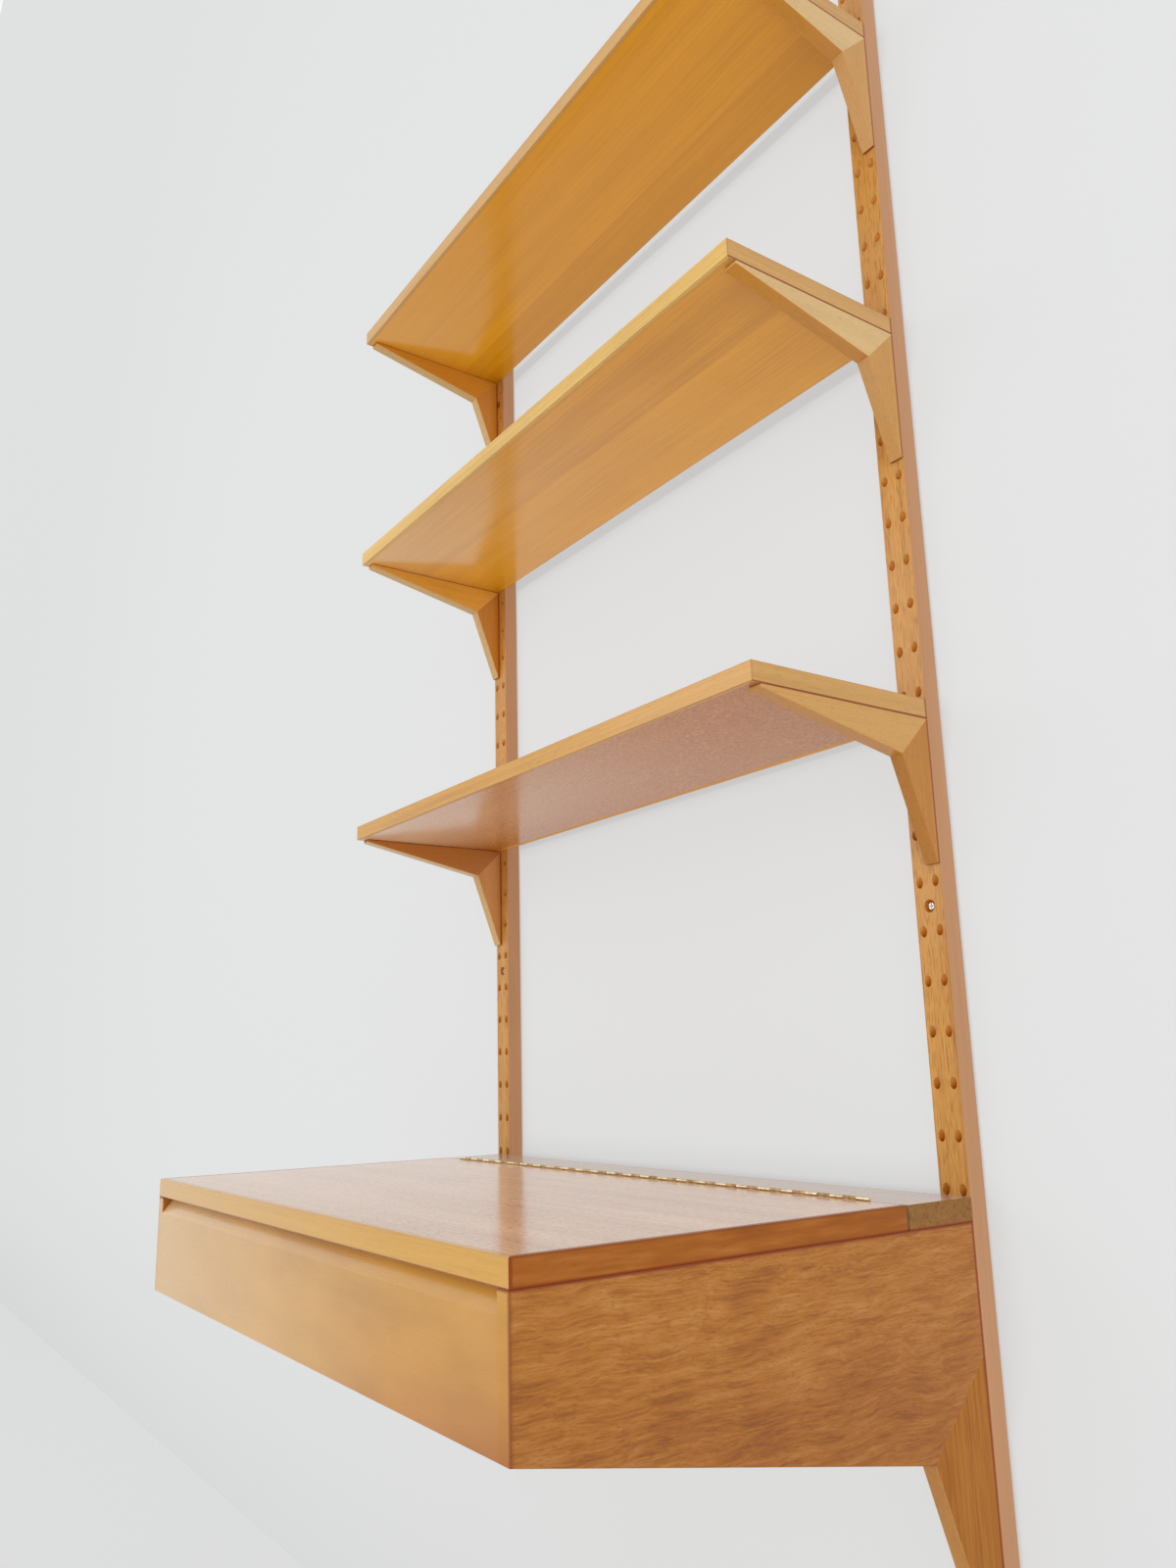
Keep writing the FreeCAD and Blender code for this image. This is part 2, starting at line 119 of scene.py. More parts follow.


# the noise of one wood: its layers, stretched along a grain that wavers, and a slow cloud
def oakNoise(tree, place, g, grain, seed):
    laid = addNode(tree, "ShaderNodeMapping", {
        "Vector": place, "Rotation": grainTurn[grain],
        "Location": tuple(seed * step for step in g["seedStep"])}).outputs["Vector"]
    drift = addNode(tree, "ShaderNodeTexNoise", {
        "Vector": laid, "Scale": 1 / (g["waverLength"] * mm), "Detail": g["waverDetail"]})
    sway = addNode(tree, "ShaderNodeVectorMath", {
        0: drift.outputs["Color"], 1: (noiseMiddle,) * 3}, operation="SUBTRACT")
    bent = addNode(tree, "ShaderNodeVectorMath", {
        0: sway.outputs["Vector"], 1: (0, g["waver"] * mm, g["waver"] * mm), 2: laid},
        operation="MULTIPLY_ADD").outputs["Vector"]
    layer = {}
    for part in ("band", "streak", "pore"):
        across = 1 / (g[part + "Width"] * mm)
        along = 1 / (g[part + "Length"] * mm)
        drawn = addNode(tree, "ShaderNodeVectorMath", {0: bent, 1: (along, across, across)},
                        operation="MULTIPLY")
        layer[part] = addNode(tree, "ShaderNodeTexNoise", {
            "Vector": drawn.outputs["Vector"], "Scale": 1.0,
            "Detail": g[part + "Detail"]}).outputs["Fac"]
    layer["cloud"] = addNode(tree, "ShaderNodeTexNoise", {
        "Vector": laid, "Scale": 1 / (g["cloudSize"] * mm), "Detail": g["cloudDetail"]}).outputs["Fac"]
    return layer


# share from 0 at the shelves' front to 1 at the rails
def shelfDepth(tree, place):
    return addNode(tree, "ShaderNodeMapRange", {
        "Value": addNode(tree, "ShaderNodeSeparateXYZ", {0: place}).outputs["Y"],
        "From Min": shelfFront, "From Max": railFace}).outputs["Result"]


# bands and streaks together, stepped from leaf to leaf of a veneer and clouded
def oakTone(tree, place, g, layer):
    tone = addNode(tree, "ShaderNodeMix", {
        "Factor": g["bandShare"], 2: layer["streak"], 3: layer["band"]}, data_type="FLOAT").outputs[0]
    if g["leaves"]:
        leaf = addNode(tree, "ShaderNodeValToRGB", {"Fac": shelfDepth(tree, place)}, stops=[
            (share, (noiseMiddle + change,) * 3 + (1.0,)) for share, change in g["leaves"]])
        leaf.color_ramp.interpolation = "CONSTANT"
        step = addNode(tree, "ShaderNodeMath", {0: leaf.outputs["Color"], 1: noiseMiddle},
                       operation="SUBTRACT")
        tone = addNode(tree, "ShaderNodeMath", {0: step.outputs[0], 1: tone}, operation="ADD").outputs[0]
    step = addNode(tree, "ShaderNodeMath", {0: layer["cloud"], 1: noiseMiddle}, operation="SUBTRACT")
    return addNode(tree, "ShaderNodeMath", {0: step.outputs[0], 1: g["cloudStep"], 2: tone},
                   operation="MULTIPLY_ADD").outputs[0]


# how much painted sheen pales a board towards -X
def paintedSheenAmount(tree, place, g):
    paintedSheenMask = addNode(tree, "ShaderNodeMapRange", {
        "Value": addNode(tree, "ShaderNodeSeparateXYZ", {0: place}).outputs["X"],
        "From Min": end * g["paintedSheenStart"], "From Max": -end, "To Max": g["paintedSheenShare"]}).outputs["Result"]
    if g["paintedSheenRear"] < 1:
        kept = addNode(tree, "ShaderNodeMapRange", {
            "Value": shelfDepth(tree, place), "From Min": g["paintedSheenKept"][0], "From Max": g["paintedSheenKept"][1],
            "To Min": 1.0, "To Max": g["paintedSheenRear"]})
        paintedSheenMask = addNode(tree, "ShaderNodeMath", {0: paintedSheenMask, 1: kept.outputs["Result"]},
                           operation="MULTIPLY").outputs[0]
    return paintedSheenMask


# how much darker the desk grows, to the right and down
def lowDarkeningAmount(tree, place, g):
    spot = addNode(tree, "ShaderNodeSeparateXYZ", {0: place}).outputs
    aside = addNode(tree, "ShaderNodeMapRange", {
        "Value": spot["X"], "From Min": end * g["lowDarkeningStart"], "From Max": end})
    down = addNode(tree, "ShaderNodeMapRange", {
        "Value": spot["Z"], "From Min": boxEdge, "From Max": boxBase})
    down = addNode(tree, "ShaderNodeMath", {0: down.outputs["Result"], 1: g["lowDarkeningPower"]}, operation="POWER")
    lowDarkeningMask = addNode(tree, "ShaderNodeMath", {0: aside.outputs["Result"], 1: down.outputs[0]},
                     operation="MULTIPLY")
    return addNode(tree, "ShaderNodeMath", {0: lowDarkeningMask.outputs[0], 1: g["lowDarkeningShare"]},
                   operation="MULTIPLY").outputs[0]


# one wood on a board: its colour, roughness and height
def oakLayers(tree, place, g, grain, seed):
    layer = oakNoise(tree, place, g, grain, seed)
    c = g["contrast"]
    dark = linear(g["dark"]) if "dark" in g else linear(g["mid"], [-c * step for step in g["darkSteps"]])
    light = linear(g["light"]) if "light" in g else linear(g["mid"], [c * step for step in g["lightSteps"]])
    colour = addNode(tree, "ShaderNodeValToRGB", {"Fac": oakTone(tree, place, g, layer)}, stops=[
        (g["darkAt"], dark), (g["lightAt"], light), (g["middleAt"], linear(g["mid"]))]).outputs["Color"]
    pores = addNode(tree, "ShaderNodeMapRange", {
        "Value": layer["pore"], "From Min": g["poreStart"], "From Max": g["poreStart"] + g["poreRamp"],
        "To Max": g["poreShare"]}).outputs["Result"]
    overlays = [(pores, "pore", "MIX")]
    if g["fleckShare"]:
        flecks = addNode(tree, "ShaderNodeMapRange", {
            "Value": layer["pore"], "From Min": g["fleckStart"], "From Max": g["fleckFull"],
            "To Max": g["fleckShare"]})
        overlays.append((flecks.outputs["Result"], "fleck", "MIX"))
    # painted sheen: a paler tone towards -X
    if g["paintedSheenShare"]:
        overlays.append((paintedSheenAmount(tree, place, g), "paintedSheen", "MIX"))
    if g["lowDarkeningShare"]:
        overlays.append((lowDarkeningAmount(tree, place, g), "lowDarkening", "MULTIPLY"))
    for share, tint, blend in overlays:
        colour = addNode(tree, "ShaderNodeMix", {"Factor": share, 6: colour, 7: linear(g[tint])},
                         data_type="RGBA", blend_type=blend).outputs[2]
    rough = addNode(tree, "ShaderNodeMapRange", {
        "Value": layer["streak"], "From Min": g["glossFrom"], "From Max": g["glossTo"],
        "To Min": g["gloss"] - g["glossSpread"] / 2, "To Max": g["gloss"] + g["glossSpread"] / 2})
    height = addNode(tree, "ShaderNodeMath", {0: layer["streak"], 1: g["streakHeight"], 2: pores},
                     operation="MULTIPLY_ADD")
    return {"colour": colour, "rough": rough.outputs["Result"], "height": height.outputs[0]}


# share from 1 at a plane to 0 at a distance from it, and full over the first part of that distance
def nearPlane(tree, place, facing, offset, reach, fullPart=0.6):
    along = addNode(tree, "ShaderNodeVectorMath", {0: place, 1: facing}, operation="DOT_PRODUCT")
    gap = addNode(tree, "ShaderNodeMath", {0: along.outputs["Value"], 1: offset}, operation="SUBTRACT")
    gap = addNode(tree, "ShaderNodeMath", {0: gap.outputs[0]}, operation="ABSOLUTE")
    return addNode(tree, "ShaderNodeMapRange", {
        "Value": gap.outputs[0], "From Min": reach * fullPart, "From Max": reach,
        "To Min": 1.0, "To Max": 0.0}, interpolation_type="SMOOTHSTEP").outputs["Result"]


# share from 1 on a box's arrises to 0 at a distance from them
def nearArris(tree, place, box, reach):
    low, high = Vector(box[0]), Vector(box[1])
    offset = addNode(tree, "ShaderNodeVectorMath", {0: place, 1: (low + high) / 2}, operation="SUBTRACT")
    inside = addNode(tree, "ShaderNodeVectorMath", {0: offset.outputs["Vector"]}, operation="ABSOLUTE")
    depth = addNode(tree, "ShaderNodeVectorMath", {
        0: (high - low) / 2, 1: inside.outputs["Vector"]}, operation="SUBTRACT")
    x, y, z = addNode(tree, "ShaderNodeSeparateXYZ", {0: depth.outputs["Vector"]}).outputs
    deeper = addNode(tree, "ShaderNodeMath", {0: x, 1: y}, operation="MAXIMUM")
    nearer = addNode(tree, "ShaderNodeMath", {0: x, 1: y}, operation="MINIMUM")
    other = addNode(tree, "ShaderNodeMath", {0: nearer.outputs[0], 1: z}, operation="MAXIMUM")
    second = addNode(tree, "ShaderNodeMath", {0: deeper.outputs[0], 1: other.outputs[0]},
                     operation="MINIMUM")
    return addNode(tree, "ShaderNodeMapRange", {
        "Value": second.outputs[0], "From Min": 0.0, "From Max": reach, "To Min": 1.0, "To Max": 0.0},
        interpolation_type="SMOOTHSTEP").outputs["Result"]


# faces: (facing, offset, reach, wood, grain, seed) where another wood, or painted light or shade, shows;
# seams: (facing, offset, reach)
def lacqueredOak(name, seed, box, wood, grain, faces, seams):
    g = {**oakGrain, **woods[wood]}
    material, tree = newMaterial(name)
    place = addNode(tree, "ShaderNodeTexCoord").outputs["Object"]
    look = oakLayers(tree, place, g, grain, seed)
    for facing, offset, reach, otherWood, otherGrain, otherSeed in faces:
        other = oakLayers(tree, place, {**oakGrain, **woods[otherWood]}, otherGrain, otherSeed)
        here = nearPlane(tree, place, facing, offset, reach * mm)
        look["colour"] = addNode(tree, "ShaderNodeMix", {
            "Factor": here, 6: look["colour"], 7: other["colour"]}, data_type="RGBA").outputs[2]
        for layer in ("rough", "height"):
            look[layer] = addNode(tree, "ShaderNodeMix", {
                "Factor": here, 2: look[layer], 3: other[layer]}, data_type="FLOAT").outputs[0]
    marks = []
    # dark arrises: painted shade in the gaps beside them, over real joint lines
    if g["edgeShare"]:
        marks.append((nearArris(tree, place, box, g["edgeWidth"] * mm), g["edgeShare"], g["edge"]))
    # seams: painted shade in the gaps between parts, over the joints' own dark lines
    for facing, offset, reach in seams:
        seamLineAndShade = nearPlane(tree, place, facing, offset, reach * mm)
        marks.append((seamLineAndShade, seam["share"], seam["colour"]))
    for near, share, tint in marks:
        shown = addNode(tree, "ShaderNodeMath", {0: near, 1: share}, operation="MULTIPLY").outputs[0]
        look["colour"] = addNode(tree, "ShaderNodeMix", {
            "Factor": shown, 6: look["colour"], 7: linear(tint)}, data_type="RGBA").outputs[2]
    bump = addNode(tree, "ShaderNodeBump", {
        "Height": look["height"], "Strength": g["bumpStrength"], "Distance": g["poreDepth"] * mm},
        invert=True)
    shader = addNode(tree, "ShaderNodeBsdfPrincipled", {
        "Base Color": look["colour"], "Roughness": look["rough"], "IOR": g["ior"],
        "Coat Weight": g["coat"], "Coat Roughness": g["coatGloss"], "Coat IOR": g["coatIor"],
        "Normal": bump.outputs["Normal"]})
    addNode(tree, "ShaderNodeOutputMaterial", {"Surface": shader.outputs[0]})
    return material


# each wood's own values, over those of oakGrain
woods = {
    "railFront": {"mid": "#C58E46", "pore": "#7E4A1C", "contrast": 0.20, "poreShare": 0.46,
                  "poreStart": 0.54, "poreWidth": 1.0, "poreLength": 15, "bandWidth": 14, "ior": 1.35},
    "railSide": {"mid": "#B5845D", "pore": "#9A6B48", "contrast": 0.08, "poreShare": 0.10, "gloss": 0.45},
    "railHole": {"mid": "#DE862A", "pore": "#8A4A18", "contrast": 0.12, "gloss": 0.6},
    "topPanel": {"mid": "#D69212", "pore": "#9A5A14", "contrast": 0.12, "poreShare": 0.14, "bandWidth": 18,
                 "leaves": ((0.0, 0.02), (0.72, -0.18)), "paintedSheen": "#E0A448", "paintedSheenShare": 0.5,
                 "paintedSheenRear": 0.0, "gloss": 0.19, "ior": 1.3, "coat": 1.0, "coatIor": 1.3},
    "middlePanel": {"mid": "#D8951A", "pore": "#8A5424", "contrast": 0.16, "poreShare": 0.16,
                    "leaves": ((0.0, -0.09), (0.45, 0.05)), "paintedSheen": "#E8BC80", "paintedSheenShare": 0.5,
                    "paintedSheenRear": 0.0, "gloss": 0.19, "ior": 1.3, "coat": 1.0, "coatIor": 1.3},
    "lowerPanel": {"mid": "#B87024", "pore": "#7A4426", "contrast": 0.14, "poreShare": 0.5,
                   "poreStart": 0.55, "poreWidth": 1.4, "poreLength": 5, "fleck": "#E2B488",
                   "fleckShare": 0.4, "cloudStep": 0.34, "paintedSheen": "#E8C8A8", "paintedSheenShare": 0.75,
                   "paintedSheenRear": 0.0, "gloss": 0.2, "ior": 1.3, "coat": 0.15, "coatIor": 1.3},
    "shelfTop": {"mid": "#C68E4E", "pore": "#8A5428", "contrast": 0.14, "poreShare": 0.25, "gloss": 0.22,
                 "bandWidth": 22},
    "topFront": {"mid": "#C7974F", "pore": "#A07038", "contrast": 0.14, "edgeShare": 0.35, "bandWidth": 8},
    "middleFront": {"mid": "#D8AE58", "pore": "#A87A42", "contrast": 0.14, "edgeShare": 0.35,
                    "bandWidth": 8},
    "lowerFront": {"mid": "#C79241", "pore": "#966430", "contrast": 0.14, "poreShare": 0.35,
                   "edgeShare": 0.35, "bandWidth": 8},
    "endLipping": {"mid": "#BD8F4F", "pore": "#8E6030", "contrast": 0.12, "edgeShare": 0.35, "bandWidth": 8},
    "rearLipping": {"mid": "#D89942", "pore": "#A4743C", "contrast": 0.10, "poreShare": 0.2, "gloss": 0.5,
                    "ior": 1.25},
    "paleArm": {"mid": "#C9A66F", "pore": "#9C6C36", "contrast": 0.10, "poreShare": 0.35, "poreLength": 6},
    "rightArm": {"mid": "#C29250", "pore": "#94622C", "contrast": 0.10, "poreShare": 0.35, "poreLength": 6},
    # a darker copy of the arm's wood for its sloping under faces: painted shade
    "armUnder": {"mid": "#C08434", "pore": "#8A5520", "contrast": 0.10, "poreShare": 0.25},
    "rightLeg": {"mid": "#BC8842", "pore": "#8A5728", "contrast": 0.10, "poreShare": 0.35, "poreLength": 8},
    "brownLeg": {"mid": "#B0752B", "pore": "#84501F", "contrast": 0.10, "poreShare": 0.35, "poreLength": 8},
    # the left arms and legs: more orange tones, the shade and warm bounce light on their inner faces painted
    # in
    "leftArm": {"mid": "#CD8528", "pore": "#9A5A1E", "contrast": 0.10, "poreShare": 0.2, "poreLength": 9,
                "ior": 1.3},
    "goldenArm": {"mid": "#DE9D3E", "pore": "#9A5A1E", "contrast": 0.10, "poreShare": 0.2, "poreLength": 9,
                  "ior": 1.3},
    "brownArm": {"mid": "#B26E2E", "pore": "#8A4F22", "contrast": 0.10, "poreShare": 0.25, "poreLength": 7,
                 "ior": 1.3},
    "leftLeg": {"mid": "#C37D28", "pore": "#8A4F18", "contrast": 0.10, "poreShare": 0.2, "poreLength": 9,
                "ior": 1.3},
    "paleLeg": {"mid": "#C8884C", "pore": "#8F5A2C", "contrast": 0.10, "poreShare": 0.25, "poreLength": 8,
                "ior": 1.3},
    "deskSide": {"mid": "#A6661A", "dark": "#8C4E0E", "light": "#B47A3A", "pore": "#7A4418",
                 "poreShare": 0.42, "poreStart": 0.57, "poreWidth": 0.8, "poreLength": 6,
                 "fleck": "#B47A3A", "fleckShare": 0.15, "bandWidth": 6.5, "bandLength": 48,
                 "streakWidth": 1.5, "streakLength": 32, "waver": 16, "waverLength": 70,
                 "cloudSize": 60, "cloudStep": 0.26, "lowDarkening": "#DAC09C", "lowDarkeningShare": 0.3,
                 "edgeShare": 0.75, "edgeWidth": 3.4, "gloss": 0.32, "ior": 1.4, "coat": 0.1},
    "deskLeg": {"mid": "#AC7434", "dark": "#94560F", "light": "#B67E40", "pore": "#7A4418",
                "poreShare": 0.22, "bandWidth": 9, "streakWidth": 1.6, "waver": 9, "waverLength": 110,
                "lowDarkening": "#EED870", "lowDarkeningShare": 0.8, "gloss": 0.32, "ior": 1.3},
    # a lighter copy of the desk leg's wood for its sloping front face: painted light
    "legFront": {"mid": "#B98242", "pore": "#8A5728", "contrast": 0.12, "poreShare": 0.25},
    "deskFront": {"mid": "#C48E38", "pore": "#94602C", "contrast": 0.13, "poreShare": 0.08, "poreLength": 6,
                  "bandWidth": 40, "bandLength": 140, "bandShare": 0.9, "cloudStep": 0.42, "cloudSize": 110,
                  "paintedSheen": "#D8BA92", "paintedSheenShare": 0.65, "lowDarkening": "#CD9A30", "lowDarkeningShare": 0.92,
                  "gloss": 0.28, "coat": 0.3},
    "lidTop": {"mid": "#D0AA8A", "pore": "#8A4222", "poreShare": 0.75, "poreLength": 7, "poreDepth": 0.01,
               "fleck": "#E2C4A8", "fleckShare": 0.45, "paintedSheen": "#E4CCB6", "paintedSheenShare": 0.4,
               "gloss": 0.19, "glossSpread": 0.05, "coat": 0.12},
    "lidFront": {"mid": "#CB983A", "pore": "#9A6632", "contrast": 0.10, "poreShare": 0.2, "bandWidth": 10,
                 "edgeShare": 0.3, "paintedSheen": "#D4B07C", "paintedSheenShare": 0.6, "gloss": 0.28, "coat": 0.3},
    "lidEnd": {"mid": "#98540E", "dark": "#8A4A0E", "light": "#A66426", "pore": "#6A3410", "poreShare": 0.2,
               "edgeShare": 0.7, "edgeWidth": 2.4, "bandWidth": 8, "bandLength": 60, "bandShare": 0.7,
               "waver": 8, "waverLength": 60, "gloss": 0.34, "ior": 1.3},
    "stripTop": {"mid": "#B69E8C", "pore": "#8A4222", "contrast": 0.14, "poreShare": 0.5, "poreLength": 8,
                 "poreDepth": 0.01, "gloss": 0.19, "coat": 0.2},
    "stripEnd": {"mid": "#885A20", "pore": "#4A301A", "contrast": 0.34, "poreShare": 0.5, "poreLength": 2,
                 "poreWidth": 1.2, "bandWidth": 4, "bandLength": 12, "gloss": 0.8},
    "plywood": {"mid": "#C9A26C", "pore": "#9C7645", "contrast": 0.12, "poreShare": 0.2, "gloss": 0.5},
    "beech": {"mid": "#D3AE83", "pore": "#A97B4E", "contrast": 0.08, "poreLength": 3, "gloss": 0.55},
}

shelves = ("top_shelf", "middle_shelf", "lower_shelf")
# the left woods carry painted shade and warm bounce light of the inner faces that turn to the unit
brackets = {                                     # wood of each arm and leg
    "top_shelf": {"left": ("leftArm", "leftLeg"), "right": ("paleArm", "rightLeg")},
    "middle_shelf": {"left": ("goldenArm", "leftLeg"), "right": ("paleArm", "rightLeg")},
    "lower_shelf": {"left": ("brownArm", "paleLeg"), "right": ("rightArm", "brownLeg")},
}
# corners in mm: depth in front of the rails, and drop below the shelf's panel or below boxEdge
bracketShape = {"armTip": (210, 4), "elbow": (39, 39), "legTip": 3}
deskLegShape = {"elbow": (72, 176), "tip": (3, 364)}
frontSeed = 90                                   # one veneer runs over the desk's front and the sides' edges
figureSeeds = {"desk_front": frontSeed, "desk_right_side": 41}
faceFigures = {                                  # seed of the figure, and reach into the board in mm
    "armUnder": (50, 0.8), "legFront": (51, 0.8), "outerArm": (52, 0.8), "outerLeg": (53, 0.8),
    "shelfTop": (54, 0.8), "shelfRear": (55, 0.8), "deskLegFront": (51, 0.9), "sideFront": (frontSeed, 0.5),
    "leftStripEnd": (60, 0.8), "rightStripEnd": (61, 0.8),
    "outerRail": (70, 0.8), "innerRail": (71, 0.8), "railHole": (72, 9.7),
}
seamPlaces = {                                   # mm from the joint to the seam's middle, and its reach
    "shelfHung": (-1.2, 1.15), "deskHung": (-1.7, 1.65), "shelfEnd": (0.6, 0.55), "armTop": (-0.5, 0.6),
    "sideTop": (-0.8, 0.75), "lidEnd": (0.9, 0.85), "lidCorner": (1.4, 1.9), "lidFront": (0.6, 0.55),
    "stripFoot": (0.8, 0.75),
}


# a point of a side view, in metres: depth in front of the rails, and height
def profilePoint(point, height):
    return point[0] * mm, height - point[1] * mm


# the facing and offset of a sloping face through two points of a side view
def slope(first, last):
    run = Vector((0, first[0] - last[0], last[1] - first[1])).normalized()
    facing = Vector((0, -run.z, run.y))
    return tuple(facing), facing.dot(Vector((0, railFace - first[0], first[1])))


def face(facing, offset, figure, wood, grain):
    seed, reach = faceFigures[figure]
    return facing, offset, reach, wood, grain, seed


def seamAt(facing, plane, joint):
    gap, reach = seamPlaces[joint]
    return facing, plane + gap * mm, reach


def board(wood, grain, faces=(), seams=()):
    return {"wood": wood, "grain": grain, "faces": faces, "seams": seams}


def shelfBoards(shelf):
    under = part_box(shelf + "_panel")[0][2]
    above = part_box(shelf + "_panel")[1][2]
    level = shelf.split("_")[0]
    rear = "rearLipping" if level == "lower" else level + "Panel"
    upper = face(upZ, above, "shelfTop", "shelfTop", "X")
    hung = seamAt(alongY, railFace, "shelfHung")
    made = {"_panel": board(level + "Panel", "X", [upper]),
            "_rear_lipping": board(rear, "X", [
                upper, face(alongY, railFace, "shelfRear", "endLipping", "X")]),
            "_front_lipping": board(level + "Front", "X"),
            "_dowels": board("beech", "Z")}
    elbow = profilePoint(bracketShape["elbow"], under)
    armUnder = slope(profilePoint(bracketShape["armTip"], under), elbow)
    legFront = slope(elbow, (bracketShape["legTip"] * mm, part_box(shelf + "_left_leg")[0][2]))
    outerArm, outerLeg = brackets[shelf]["right"]
    for side in ("left", "right"):
        arm, leg = brackets[shelf][side]
        # the sloping under faces take a darker copy of the wood, painted shade; on the left they and the
        # leg's front faces take a pale copy, painted light
        armFaces, legFaces = [face(*armUnder, "armUnder", "armUnder", "Y")], ()
        if side == "left":                       # the outer faces are as pale as the right bracket's
            armFaces = [face(*armUnder, "armUnder", "paleArm", "Y"),
                        face(acrossX, -end, "outerArm", outerArm, "Y")]
            legFaces = [face(*legFront, "legFront", "paleArm", "Z"),
                        face(acrossX, -end, "outerLeg", outerLeg, "Z")]
        made["_" + side + "_lipping"] = board("endLipping", "Y", (), [seamAt(upZ, under, "shelfEnd"), hung])
        made["_" + side + "_arm"] = board(arm, "Y", armFaces, [seamAt(upZ, under, "armTop")])
        made["_" + side + "_leg"] = board(leg, "Z", legFaces, [hung])
    return {shelf + piece: settings for piece, settings in made.items()}


boards = {}
for side, turn in (("left", -1), ("right", 1)):
    boards[side + "_rail"] = board("railFront", "Z", [
        face(alongY, railFace / 2, "railHole", "railHole", "Z"),
        face(acrossX, turn * end, "outerRail", "railSide", "Z"),
        face(acrossX, turn * innerEnd, "innerRail", "railSide", "Z")])
for shelf in shelves:
    boards.update(shelfBoards(shelf))
deskLegFront = slope(profilePoint(deskLegShape["elbow"], boxEdge),
                     profilePoint(deskLegShape["tip"], boxEdge))
deskHung = seamAt(alongY, railFace, "deskHung")
for side in ("left", "right"):
    boards["desk_" + side + "_side"] = board(
        "deskSide", "Y", [face(alongY, deskFace, "sideFront", "deskFront", "X")],
        [deskHung, seamAt(upZ, boxEdge, "sideTop")])
    boards["desk_" + side + "_leg"] = board(
        "deskLeg", "Z", [face(*deskLegFront, "deskLegFront", "legFront", "Z")], [deskHung])
    boards["lid_" + side + "_lipping"] = board(
        "lidEnd", "Y", (), [seamAt(upZ, boxEdge, "lidEnd"), seamAt(alongY, deskFace, "lidCorner")])
boards["desk_front"] = board("deskFront", "X")
boards["desk_back"] = board("plywood", "X")
boards["desk_bottom"] = board("plywood", "X")
boards["desk_dowels"] = board("beech", "Z")
boards["desk_rear_strip"] = board("stripTop", "X", [
    face(acrossX, -end, "leftStripEnd", "stripEnd", "X"),
    face(acrossX, end, "rightStripEnd", "stripEnd", "X")], [seamAt(upZ, boxEdge, "stripFoot")])
boards["lid_panel"] = board("lidTop", "X")
boards["lid_rear_lipping"] = board("lidTop", "X")
boards["lid_front_lipping"] = board("lidFront", "X", (), [seamAt(upZ, boxEdge, "lidFront")])
deskBox = (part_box("desk_left_side")[0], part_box("desk_right_side")[1])
for index, (name, settings) in enumerate(boards.items()):
    seed = figureSeeds.get(name, index)
    box = deskBox if settings["wood"] == "deskSide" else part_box(name)
    dress(name, lacqueredOak("lacquered oak " + name, seed, box, **settings))
print("oak boards dressed:", len(boards))


# Metal: rolled brass with a tarnish film, and bright zinc-plated steel. A cloudy film breaks the gloss.
metals = {
    "rolled brass": {"clean": "#F6ECCB", "film": "#D8C192", "rough": 0.36, "spread": 0.12, "cloud": 6},
    "tarnished brass": {"clean": "#D2B584", "film": "#A5855A", "rough": 0.46, "spread": 0.12, "cloud": 6},
    "zinc-plated steel": {"clean": "#F8F8F6", "film": "#DCDDDD", "rough": 0.34, "spread": 0.14, "cloud": 4},
}
metalFilm = {"detail": 4.0, "filmAt": 0.36, "cleanAt": 0.62, "glossFrom": 0.3, "glossTo": 0.7,
             "bumpStrength": 0.2, "depth": 0.02}


def sheetMetal(name):
    look = metals[name]
    material, tree = newMaterial(name)
    place = addNode(tree, "ShaderNodeTexCoord").outputs["Object"]
    cloud = addNode(tree, "ShaderNodeTexNoise", {
        "Vector": place, "Scale": 1 / (look["cloud"] * mm), "Detail": metalFilm["detail"]}).outputs["Fac"]
    colour = addNode(tree, "ShaderNodeValToRGB", {"Fac": cloud}, stops=[
        (metalFilm["filmAt"], linear(look["film"])), (metalFilm["cleanAt"], linear(look["clean"]))])
    rough = addNode(tree, "ShaderNodeMapRange", {
        "Value": cloud, "From Min": metalFilm["glossFrom"], "From Max": metalFilm["glossTo"],
        "To Min": look["rough"] + look["spread"], "To Max": look["rough"]})
    bump = addNode(tree, "ShaderNodeBump", {
        "Height": cloud, "Strength": metalFilm["bumpStrength"], "Distance": metalFilm["depth"] * mm})
    shader = addNode(tree, "ShaderNodeBsdfPrincipled", {
        "Base Color": colour.outputs["Color"], "Metallic": 1.0, "Roughness": rough.outputs["Result"],
        "Normal": bump.outputs["Normal"]})
    addNode(tree, "ShaderNodeOutputMaterial", {"Surface": shader.outputs[0]})
    return material


metal = {name: sheetMetal(name) for name in metals}
for name in ("hinge_fixed_leaf", "hinge_fixed_screws", "hinge_lid_screws"):
    dress(name, metal["rolled brass"])
dress("hinge_lid_leaf", metal["tarnished brass"])
for name in ["hinge_pin", "desk_pegs"] + [shelf + "_pegs" for shelf in shelves]:
    dress(name, metal["zinc-plated steel"])
print("metal dressed")


# six pan-head screws at the bottom of the recesses in the rails
wallScrews = {
    "Head Radius": 4.9 * mm, "Head Height": 4.3 * mm, "Shank Radius": 2.3 * mm, "Shank Length": 12.2 * mm,
    "Drive Width": 1.2 * mm, "Drive Length": 5.4 * mm, "Drive Depth": 1.6 * mm,
    "Rail Middle": 383.5 * mm, "Hole Floor": -13 * mm, "Upper Screw": 900 * mm, "Lower Screw": -540 * mm,
}
screwMake = {"crownShare": 0.62, "headSides": 40, "shankSides": 24, "turnSeed": 5, "sharpAngle": 30}


